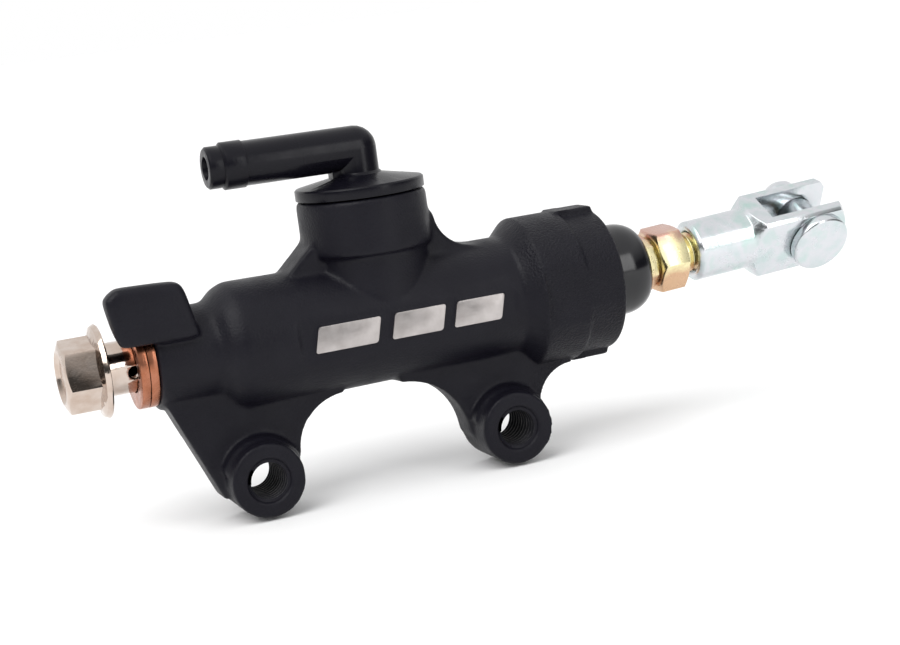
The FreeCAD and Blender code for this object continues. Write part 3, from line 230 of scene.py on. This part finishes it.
def plated_metal(name, colors, low, high, grain=0.0025, lines=None, line_depth=0.000012):
    """Plated or bare metal with patchy colour, roughness clouds and optional tool lines."""
    paint = Paint(name, colors[0], metallic=1.0, roughness=low)
    paint.vary_color(paint.noise(grain, 3.0), colors)
    paint.vary_roughness(paint.noise(grain * 0.7, 4.0), low, high)
    if lines is not None:
        paint.bump(paint.noise(0.0003, 2.0, stretch=lines), line_depth)
    paint.bump(paint.noise(0.0006, 2.0), 0.000015)
    return paint.material


def yellow_zinc():
    """Yellow passivated zinc: pale yellow, turning pink towards the top and the bottom; the change with height is
    partly the plating's own tint and partly painted reflection.
    """
    paint = Paint("yellow_zinc", (0.8, 0.7, 0.42), metallic=1.0, roughness=0.25)
    pink, yellow, tan = (0.6, 0.37, 0.3), (0.84, 0.76, 0.45), (0.66, 0.43, 0.27)
    # Colour by height: painted reflection on the faces that look up and down, mixed with the plating's own tint.
    height = paint.along("Z", BORE_Z - 0.008, BORE_Z + 0.012, 0.0, 1.0)
    cloud = paint.spread(paint.noise(0.003, 3.0), -0.05, 0.05)
    colors = [tan, tan, yellow, yellow, yellow, pink, pink]
    paint.vary_color(paint.added(height, cloud), colors, 0.2, 0.85)
    paint.vary_roughness(paint.noise(0.002, 4.0), 0.2, 0.34)
    paint.bump(paint.noise(0.0008, 2.0), 0.000012)
    return paint.material


MATERIALS = {
    "black_paint": cast_paint(),
    "black_plastic": moulded_plastic(),
    "boot_rubber": boot_rubber(),
    "seal_rubber": seal_rubber(),
    "yellow_zinc": yellow_zinc(),
    "aluminium": plated_metal(
        "turned_aluminium", [(0.6, 0.6, 0.62), (0.7, 0.7, 0.71)], 0.25, 0.4,
        lines=(1, 0.05, 0.05)),
    "plain_steel": plated_metal(
        "plain_steel", [(0.42, 0.42, 0.43), (0.54, 0.54, 0.55)], 0.25, 0.4),
    "clear_zinc": plated_metal(
        "clear_zinc", [(0.54, 0.63, 0.63), (0.66, 0.67, 0.7), (0.5, 0.64, 0.61)], 0.18, 0.3,
        grain=0.005, lines=(1, 0.12, 0.12)),
    "copper": plated_metal(
        "copper", [(0.34, 0.12, 0.06), (0.46, 0.19, 0.115)], 0.22, 0.36, lines=(1, 0.06, 0.06),
        line_depth=0.00005),
    "nickel": plated_metal(
        "nickel", [(0.52, 0.41, 0.34), (0.62, 0.53, 0.47)], 0.07, 0.15),
}
BARE_MARK = plated_metal(
    "bare_mark", [(0.4, 0.37, 0.36), (0.5, 0.47, 0.46)], 0.3, 0.44, lines=(0.06, 1, 1))


# ---------------------------------------------------------------- mesh helpers

# Faces that meet at less than this angle count as one flat face.
FLAT = math.radians(0.5)


def dress(piece, slot_name, material=None):
    """Give a piece the finish of a material slot."""
    piece.data.materials.clear()
    piece.data.materials.append(material or MATERIALS[slot_name])


def new_piece(name, vertices, faces):
    """An object made of the given vertices and faces."""
    mesh = bpy.data.meshes.new(name)
    mesh.from_pydata([tuple(v) for v in vertices], [], faces)
    mesh.update()
    piece = bpy.data.objects.new(name, mesh)
    bpy.context.scene.collection.objects.link(piece)
    return piece


def smooth(piece, sharp_degrees=None):
    """Smooth shading, with edges over an angle kept sharp."""
    for polygon in piece.data.polygons:
        polygon.use_smooth = True
    if sharp_degrees is not None:
        piece.data.set_sharp_from_angle(angle=math.radians(sharp_degrees))


def bake_modifiers(piece):
    """Turn the piece's modifiers into its mesh."""
    graph = bpy.context.evaluated_depsgraph_get()
    mesh = bpy.data.meshes.new_from_object(piece.evaluated_get(graph))
    piece.modifiers.clear()
    piece.data = mesh


@contextmanager
def edited(mesh):
    """The mesh opened as a bmesh, written back at the end of the block."""
    work = bmesh.new()
    work.from_mesh(mesh)
    yield work
    work.to_mesh(mesh)
    work.free()


def copy_of(node, name):
    """A free copy of a CAD node's mesh with its doubled corners joined."""
    mesh = frame["nodes"][node].data.copy()
    mesh.name = name
    with edited(mesh) as work:
        bmesh.ops.remove_doubles(work, verts=work.verts, dist=1e-6)
    piece = bpy.data.objects.new(name, mesh)
    bpy.context.scene.collection.objects.link(piece)
    if mesh.has_custom_normals:
        with bpy.context.temp_override(object=piece, active_object=piece):
            bpy.ops.mesh.customdata_custom_splitnormals_clear()
    return piece


def eased_copy(node, body, slot_name, width, angle=30):
    """A CAD node with its sharp edges rounded by a small bevel, shown in its place."""
    piece = copy_of(node, f"{node}_eased")
    with edited(piece.data) as work:
        bmesh.ops.dissolve_limit(work, angle_limit=FLAT, verts=work.verts, edges=work.edges)
    bevel = piece.modifiers.new("edges", "BEVEL")
    bevel.width = width
    bevel.segments = 2
    bevel.limit_method = "ANGLE"
    bevel.angle_limit = math.radians(angle)
    bake_modifiers(piece)
    smooth(piece, 32)
    dress(piece, slot_name)
    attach(piece, body)
    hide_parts(node)


def turned(name, profile, matrix, steps=96):
    """Surface turned about local X from a row of (x, radius) points."""
    vertices, faces = [], []
    count = len(profile)
    for step in range(steps):
        angle = math.tau * step / steps
        for x, radius in profile:
            vertices.append(matrix @ Vector((x, radius * math.cos(angle),
                                             radius * math.sin(angle))))
    for step in range(steps):
        here, there = step * count, (step + 1) % steps * count
        for index in range(count - 1):
            faces.append((here + index, here + index + 1, there + index + 1, there + index))
    piece = new_piece(name, vertices, faces)
    with edited(piece.data) as work:
        bmesh.ops.remove_doubles(work, verts=work.verts, dist=1e-7)
        bmesh.ops.recalc_face_normals(work, faces=work.faces)
    return piece


# ---------------------------------------------------------------- casting

# Millimetres, because the casting is relaxed at that scale; the last two count rounds.
LUG_X = 25.0
HOLE_CLEAR = 4.7
OUTLET_X = -41.5
OUTLET_RADIUS = 9.2
OUTLET_SEAT = 8.0
COLLAR_X = 49.9
MOUTH_DEPTH = 2.0
MOUTH_RADIUS = 11.0
NECK_X = 3.25
NECK_SIDE = 15.0
NECK_SIDE_REACH = 6.5
NECK_FOOT = 8.5
WEB_TOP = 9.0
WEB_FRONT = -10.0
STOP_RIGHT = -33.2
STOP_BOTTOM = 4.4
SHOULDER_X = -28.0
SHOULDER_REACH = 4.0
CONE_X = 30.5
KEY_X = 44.0
KEY_FOOT = 14.1
CAST_ROUNDS = 26
STOP_ROUNDS = 70


def cast_body():
    """The cast body with soft radii; the holes, the outlet's seat and the mouth are held."""
    piece = copy_of("cylinder_body", "casting")
    piece.data.transform(Matrix.Scale(1 / MM, 4))
    remesh = piece.modifiers.new("even_mesh", "REMESH")
    remesh.mode = "VOXEL"
    remesh.voxel_size = 0.32
    bake_modifiers(piece)
    mesh = piece.data
    points = np.empty(len(mesh.vertices) * 3)
    mesh.vertices.foreach_get("co", points)
    points = points.reshape(-1, 3)
    ends = np.empty(len(mesh.edges) * 2, dtype=np.int64)
    mesh.edges.foreach_get("vertices", ends)
    share = 1.0
    points = relaxed(points, ends, casting_freedom(points), int(CAST_ROUNDS * share))
    points = relaxed(points, ends, stop_freedom(points), int(STOP_ROUNDS * share))
    mesh.vertices.foreach_set("co", points.ravel())
    mesh.update()
    piece.data.transform(Matrix.Scale(MM, 4))
    smooth(piece)
    dress(piece, "black_paint")
    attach(piece, "housing")
    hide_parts("cylinder_body")


def relaxed(points, ends, freedom, rounds):
    """Points moved towards the middle of their neighbours, each as far as its freedom."""
    count = len(points)
    first, second = ends.reshape(-1, 2).T
    degree = np.bincount(ends, minlength=count)[:, None]
    step = freedom[:, None] * 0.5
    for _ in range(rounds):
        total = np.empty_like(points)
        for axis in range(3):
            total[:, axis] = (np.bincount(first, points[second, axis], count)
                              + np.bincount(second, points[first, axis], count))
        points = points + step * (total / degree - points)
    return points


def casting_freedom(points):
    """How far each point may relax: 0 at the holes, the outlet's seat and the mouth."""
    x, y, z = points.T
    height = z - BORE_Z / MM
    from_bore = np.hypot(y - BORE_Y / MM, height)
    freedom = np.full(len(points), 0.3)
    beside_neck = np.abs(np.abs(x - NECK_X) - NECK_SIDE) < NECK_SIDE_REACH
    freedom[beside_neck & (height > NECK_FOOT)] = 0.8
    freedom[np.abs(x - SHOULDER_X) < SHOULDER_REACH] = 0.8
    freedom[(z < WEB_TOP) & (y > WEB_FRONT)] = 0.8
    freedom[x > CONE_X] = 0.04
    freedom[(x > KEY_X) & (from_bore > KEY_FOOT)] = 0.6
    for lug in (-LUG_X, LUG_X):
        from_hole = np.hypot(x - lug, z)
        freedom = np.minimum(freedom, np.clip((from_hole - HOLE_CLEAR) * 0.3, 0, 1))
    at_outlet = (x < OUTLET_X + 0.3) & (from_bore < OUTLET_SEAT)
    at_mouth = (x > COLLAR_X - MOUTH_DEPTH) & (from_bore < MOUTH_RADIUS)
    freedom[at_outlet | at_mouth] = 0.0
    return freedom


def stop_freedom(points):
    """1 on the hose stop, fading out where it grows from the outlet."""
    x, y, z = points.T
    height = z - BORE_Z / MM
    from_bore = np.hypot(y - BORE_Y / MM, height)
    beside = np.clip(STOP_RIGHT + 1.0 - x, 0, 1)
    return beside * np.clip(from_bore - OUTLET_RADIUS, 0, 1) * (height > STOP_BOTTOM - 2.0)


# ---------------------------------------------------------------- threads

M8_PITCH = 1.25 * MM
M8_CREST = 3.95 * MM
M8_ROOT = 3.3 * MM
HOLE_CREST = 3.45 * MM
HOLE_ROOT = 4.02 * MM


def thread(name, matrix, start, end, root, crest):
    """Helical M8 thread surface about local X between two places."""
    steps = 60
    # One pitch of the profile: share of the pitch and share of the depth.
    profile = [(0.0, 0.0), (0.12, 0.0), (0.43, 1.0), (0.57, 1.0), (0.88, 0.0)]
    count = len(profile)
    turns = math.ceil((end - start) / M8_PITCH) + 2
    columns = turns * count
    vertices, faces = [], []
    for step in range(steps):
        share = step / steps
        angle = math.tau * share
        for column in range(columns):
            place, depth = profile[column % count]
            x = start + M8_PITCH * (column // count - 1 + place + share)
            radius = root + (crest - root) * depth
            x = min(max(x, start), end)
            vertices.append(matrix @ Vector((x, radius * math.cos(angle),
                                             radius * math.sin(angle))))
    for step in range(steps):
        here = step * columns
        there = (step + 1) % steps * columns
        # Past a full turn the helix has moved on by one pitch.
        shift = count if step == steps - 1 else 0
        for column in range(columns - 1 - shift):
            faces.append((here + column, here + column + 1,
                          there + column + 1 + shift, there + column + shift))
    piece = new_piece(name, vertices, faces)
    with edited(piece.data) as work:
        bmesh.ops.dissolve_degenerate(work, edges=work.edges, dist=1e-8)
        bmesh.ops.recalc_face_normals(work, faces=work.faces)
    smooth(piece, 25)
    return piece


def hole_threads():
    """Internal threads of the two mounting holes."""
    for name, x in (("left", -LUG_X), ("right", LUG_X)):
        axis = on_axis(Vector((x * MM, 0, 0)), Vector((0, 1, 0)))
        piece = thread(f"{name}_hole_thread", axis, 0.45 * MM, 13.0 * MM, HOLE_ROOT, HOLE_CREST)
        dress(piece, "black_paint")
        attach(piece, "housing")


# ---------------------------------------------------------------- push rod

ROD_BALL = 5.6 * MM
ROD_NECK = 3.4 * MM
ROD_HEX_FLATS = 10.0 * MM
ROD_HEX = (17.0 * MM, 24.3 * MM)
ROD_HEX_TURN = math.radians(-9)
ROD_END = 47.0 * MM
# How far one part of the rod runs into the next, so that no gap shows.
ROD_OVERLAP = 0.2 * MM


def hexagon(name, matrix, across_flats, start, end, turn, bevel):
    """Hexagonal bar along local X with turned-off corners."""
    corner = across_flats / math.sqrt(3)
    ease = (corner - across_flats / 2) * 0.55
    rings = [(start, across_flats / 2 * 0.98), (start, across_flats / 2), (start + ease, corner),
             (end - ease, corner), (end, across_flats / 2), (end, across_flats / 2 * 0.98)]
    sides = 48
    vertices, faces = [], []
    for x, limit in rings:
        for side in range(sides):
            angle = math.tau * side / sides
            nearest = (angle + math.pi / 6) % (math.pi / 3) - math.pi / 6
            radius = min(across_flats / 2 / math.cos(nearest), limit)
            vertices.append(matrix @ Vector((x, radius * math.cos(angle + turn),
                                             radius * math.sin(angle + turn))))
    for ring in range(len(rings) - 1):
        for side in range(sides):
            following = (side + 1) % sides
            faces.append((ring * sides + side, ring * sides + following,
                          (ring + 1) * sides + following, (ring + 1) * sides + side))
    faces.append(tuple(range(sides)))
    faces.append(tuple(range((len(rings) - 1) * sides, len(rings) * sides)))
    piece = new_piece(name, vertices, faces)
    with edited(piece.data) as work:
        bmesh.ops.remove_doubles(work, verts=work.verts, dist=1e-6)
        bmesh.ops.recalc_face_normals(work, faces=work.faces)
        bmesh.ops.dissolve_limit(work, angle_limit=FLAT, verts=work.verts, edges=work.edges)
    edges = piece.modifiers.new("edges", "BEVEL")
    edges.width = bevel
    edges.segments = 2
    edges.limit_method = "ANGLE"
    edges.angle_limit = math.radians(28)
    bake_modifiers(piece)
    smooth(piece, 30)
    return piece


def push_rod():
    """Ball, neck, hexagon and real M8 thread of the push rod."""
    meet = math.asin(ROD_NECK / ROD_BALL)
    profile = [(-ROD_BALL, 0.0)]
    steps = 24
    for index in range(1, steps + 1):
        angle = math.pi - (math.pi - meet) * index / steps
        profile.append((ROD_BALL * math.cos(angle), ROD_BALL * math.sin(angle)))
    profile += [(ROD_HEX[0] + ROD_OVERLAP, ROD_NECK), (ROD_HEX[0] + ROD_OVERLAP, 0.0)]
    shaft = turned("rod_ball_and_neck", profile, ROD_AXIS)
    smooth(shaft, 40)
    bar = hexagon("rod_hexagon", ROD_AXIS, ROD_HEX_FLATS, *ROD_HEX, ROD_HEX_TURN, 0.12 * MM)
    screw = thread("rod_thread", ROD_AXIS, ROD_HEX[1] - ROD_OVERLAP, ROD_END, M8_ROOT, M8_CREST)
    for piece in (shaft, bar, screw):
        dress(piece, "yellow_zinc")
        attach(piece, "rod")
    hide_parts("push_rod")


# ---------------------------------------------------------------- dust boot

BOOT_RADIUS = 9.15 * MM
BOOT_WALL = 1.3 * MM
BOOT_ROOT = 6.4 * MM
BOOT_SEAM = 16.6 * MM
BOOT_DOME = 16.9 * MM
BOOT_NOSE = 21.9 * MM
BOOT_LIP = 5.8 * MM


def dust_boot():
    """Rubber boot: a root that sits inside the collar and a dome over the rod, both turned about the rod's axis.
    """
    root_profile = [
        (BOOT_SEAM, BOOT_RADIUS), (BOOT_SEAM - 3 * MM, BOOT_RADIUS),
        (BOOT_ROOT + 5 * MM, BOOT_RADIUS), (BOOT_ROOT + 2 * MM, BOOT_RADIUS),
        (BOOT_ROOT, BOOT_RADIUS), (BOOT_ROOT, BOOT_RADIUS - BOOT_WALL),
        (BOOT_ROOT + 5 * MM, BOOT_RADIUS - BOOT_WALL), (BOOT_SEAM, BOOT_RADIUS - BOOT_WALL),
    ]
    root = turned("boot_root", root_profile, ROD_AXIS)
    smooth(root, 60)
    dress(root, "boot_rubber")
    height = BOOT_RADIUS - BOOT_LIP - 0.3 * MM
    dome = [(BOOT_SEAM, BOOT_RADIUS), (BOOT_SEAM + 0.2 * MM, BOOT_RADIUS)]
    steps = 14
    for index in range(steps + 1):
        angle = math.pi / 2 * (1 - index / steps)
        dome.append((BOOT_DOME + (BOOT_NOSE - BOOT_DOME) * math.cos(angle),
                     BOOT_LIP + 0.3 * MM + height * math.sin(angle)))
    dome += [(BOOT_NOSE - 0.1 * MM, BOOT_LIP + 0.05 * MM), (BOOT_NOSE - 0.4 * MM, BOOT_LIP),
             (BOOT_NOSE - BOOT_WALL, BOOT_LIP),
             (BOOT_DOME, BOOT_RADIUS - BOOT_WALL), (BOOT_SEAM, BOOT_RADIUS - BOOT_WALL)]
    nose = turned("boot_nose", dome, ROD_AXIS)
    smooth(nose, 60)
    dress(nose, "boot_rubber")
    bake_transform(root)
    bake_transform(nose)
    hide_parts("dust_boot")


# ---------------------------------------------------------------- return spring and seals


def return_spring():
    """The return coil, copied from the CAD node, smooth shaded and attached to the housing."""
    spring = copy_of("return_spring", "return_coil")
    smooth(spring, 50)
    dress(spring, "plain_steel")
    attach(spring, "housing")
    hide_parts("return_spring")
    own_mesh(spring)


def seals():
    """The two cups and the O-ring, with eased edges."""
    for node, body in (("primary_cup", "piston_group"), ("secondary_cup", "piston_group"),
                       ("inlet_o_ring", "elbow")):
        eased_copy(node, body, "seal_rubber", 0.08 * MM)


# ---------------------------------------------------------------- marks on the barrel

# Millimetres: x in the frame, y and z from the bore's axis. A bar runs from left to right.
MARK_BARS = ((-13.0, -1.0), (2.0, 12.0), (14.5, 24.0))
MARK_HALF_HEIGHT = 2.3
MARK_SLANT = 1.2
MARK_FACE = -11.4
MARK_HEIGHT = 0.42
MARK_MARGIN = 0.12


def mark_bars():
    """Three plain slanted bars of bare metal on the name flat."""
    for number, (left, right) in enumerate(MARK_BARS, start=1):
        low, high = -MARK_HALF_HEIGHT - MARK_MARGIN, MARK_HALF_HEIGHT + MARK_MARGIN
        left, right = left - MARK_MARGIN, right + MARK_MARGIN
        outline = [(left, low), (right, low), (right + MARK_SLANT, high),
                   (left + MARK_SLANT, high)]
        vertices = [(x * MM, BORE_Y + (MARK_FACE - depth) * MM, BORE_Z + z * MM)
                    for depth in (-0.2, MARK_HEIGHT) for x, z in outline]
        faces = [(0, 1, 2, 3), (7, 6, 5, 4)] + [
            (side, side + 4, (side + 1) % 4 + 4, (side + 1) % 4) for side in range(4)]
        bar = new_piece(f"mark_bar_{number}", vertices, faces)
        round_upright_edges(bar, 0.55 * MM)
        bevel = bar.modifiers.new("edges", "BEVEL")
        bevel.width = 0.1 * MM
        bevel.segments = 2
        bevel.limit_method = "ANGLE"
        bake_modifiers(bar)
        smooth(bar, 30)
        dress(bar, "aluminium", BARE_MARK)
        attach(bar, "housing")


def round_upright_edges(piece, radius):
    """Round the edges of a bar that run along Y."""
    with edited(piece.data) as work:
        bmesh.ops.recalc_face_normals(work, faces=work.faces)
        upright = [edge for edge in work.edges
                   if abs(edge.verts[0].co.y - edge.verts[1].co.y) > 0.3 * MM]
        bmesh.ops.bevel(work, geom=upright, offset=radius, segments=5, affect="EDGES",
                        profile=0.5)


# ---------------------------------------------------------------- every piece

def dress_cad_nodes():
    """The finish of every CAD node that stays as it is."""
    slots = {part["node"]: part["material_slot"] for part in frame["record"]["subparts"]}
    for node, piece in frame["nodes"].items():
        material = MATERIALS[slots[node]]
        piece.data.materials.clear()
        piece.data.materials.append(material)


EASED_NODES = [
    ("lock_nut", "nut", "yellow_zinc", 0.14 * MM),
    ("clevis", "fork", "clear_zinc", 0.3 * MM),
    ("clevis_pin", "pin", "clear_zinc", 0.15 * MM),
    ("pin_clip", "pin", "plain_steel", 0.08 * MM),
    ("hose_elbow", "elbow", "black_plastic", 0.2 * MM),
    ("copper_washer_inner", "washers", "copper", 0.12 * MM),
    ("copper_washer_outer", "washers", "copper", 0.12 * MM),
    ("banjo_bolt", "bolt", "nickel", 0.22 * MM),
]

dress_cad_nodes()
cast_body()
hole_threads()
mark_bars()
for node, body, slot_name, width in EASED_NODES:
    eased_copy(node, body, slot_name, width)
push_rod()
dust_boot()
return_spring()
seals()


# ---------------------------------------------------------------- floor, light and camera

FLOOR_GAP = 0.5 * MM
FLOOR_REACH = 20.0


def make_floor():
    """A plain pale floor just under the lowest point."""
    level = cad_box[0].z - FLOOR_GAP
    reach = FLOOR_REACH
    corners = [(-reach, -reach, level), (reach, -reach, level),
               (reach, reach, level), (-reach, reach, level)]
    floor = new_piece("floor", corners, [(0, 1, 2, 3)])
    paint = Paint("floor_paint", (0.93, 0.93, 0.93), roughness=0.9)
    floor.data.materials.append(paint.material)


# For two axes of the direction to the wall: where it starts to brighten and where it is white.
WALL_RAMPS = (("Y", -0.15, 0.45), ("Z", 0.22, 0.65))
WALL_DARK = 0.07


def make_world():
    """Studio walls: white behind the object and overhead, dark on the near side."""
    world = bpy.data.worlds.new("studio")
    world.use_nodes = True
    tree = world.node_tree
    place = tree.nodes.new("ShaderNodeTexCoord").outputs["Generated"]
    parts = tree.nodes.new("ShaderNodeSeparateXYZ")
    tree.links.new(place, parts.inputs["Vector"])
    shares = []
    for axis, near, far in WALL_RAMPS:
        node = tree.nodes.new("ShaderNodeMapRange")
        node.inputs["From Min"].default_value = near
        node.inputs["From Max"].default_value = far
        node.inputs["To Min"].default_value = WALL_DARK
        node.inputs["To Max"].default_value = 1.0
        tree.links.new(parts.outputs[axis], node.inputs["Value"])
        shares.append(node.outputs["Result"])
    brightest = tree.nodes.new("ShaderNodeMath")
    brightest.operation = "MAXIMUM"
    for share, target in zip(shares, brightest.inputs):
        tree.links.new(share, target)
    background = tree.nodes["Background"]
    background.inputs["Color"].default_value = (1, 1, 1, 1)
    tree.links.new(brightest.outputs["Value"], background.inputs["Strength"])
    bpy.context.scene.world = world


def sun_light(name, direction, strength, degrees):
    """A sun that shines along a direction; a wide angle gives soft shadows."""
    lamp = bpy.data.lights.new(name, "SUN")
    lamp.energy = strength
    lamp.angle = math.radians(degrees)
    light = bpy.data.objects.new(name, lamp)
    light.rotation_euler = Vector(direction).to_track_quat("-Z", "Y").to_euler()
    bpy.context.scene.collection.objects.link(light)


def area_light(name, place, target, size, power):
    """A rectangular studio panel aimed at a target."""
    lamp = bpy.data.lights.new(name, "AREA")
    lamp.shape = "RECTANGLE"
    lamp.size, lamp.size_y = size
    lamp.energy = power
    light = bpy.data.objects.new(name, lamp)
    light.location = place
    aim = Vector(target) - Vector(place)
    light.rotation_euler = aim.to_track_quat("-Z", "Y").to_euler()
    bpy.context.scene.collection.objects.link(light)


CAMERA_AZIMUTH = 20.07
CAMERA_ELEVATION = 9.33
CAMERA_ROLL = 7.44
CAMERA_DISTANCE = 0.3799
CAMERA_TARGET = Vector((0.01788, BORE_Y, BORE_Z - 0.0033))
CAMERA_LENS = 78.18


def make_camera():
    """The camera, rolled about its own line of sight."""
    azimuth, elevation = math.radians(CAMERA_AZIMUTH), math.radians(CAMERA_ELEVATION)
    roll = math.radians(CAMERA_ROLL)
    ahead = Vector((math.sin(azimuth) * math.cos(elevation),
                    math.cos(azimuth) * math.cos(elevation), -math.sin(elevation)))
    right = Vector((math.cos(azimuth), -math.sin(azimuth), 0))
    up = right.cross(ahead)
    tilted_right = right * math.cos(roll) - up * math.sin(roll)
    tilted_up = right * math.sin(roll) + up * math.cos(roll)
    turn = Matrix((tilted_right, tilted_up, -ahead)).transposed().to_4x4()
    data = bpy.data.cameras.new("camera")
    data.lens = CAMERA_LENS
    data.sensor_width = 36.0
    data.clip_start = 0.01
    camera = bpy.data.objects.new("camera", data)
    camera.matrix_world = Matrix.Translation(CAMERA_TARGET - ahead * CAMERA_DISTANCE) @ turn
    bpy.context.scene.collection.objects.link(camera)
    bpy.context.scene.camera = camera


make_floor()
make_world()
sun_light("key", (0.45, 0.3, -0.85), 1.25, 45)
area_light("left_light", (-0.45, -0.35, 0.4), (0.02, 0.01, 0.02), (0.3, 0.3), 0.8)
area_light("right_strip", (0.235, -0.43, 0.2), (0.065, 0.011, 0.026), (0.13, 0.34), 0.5)
make_camera()
bpy.context.scene.view_settings.view_transform = "Standard"
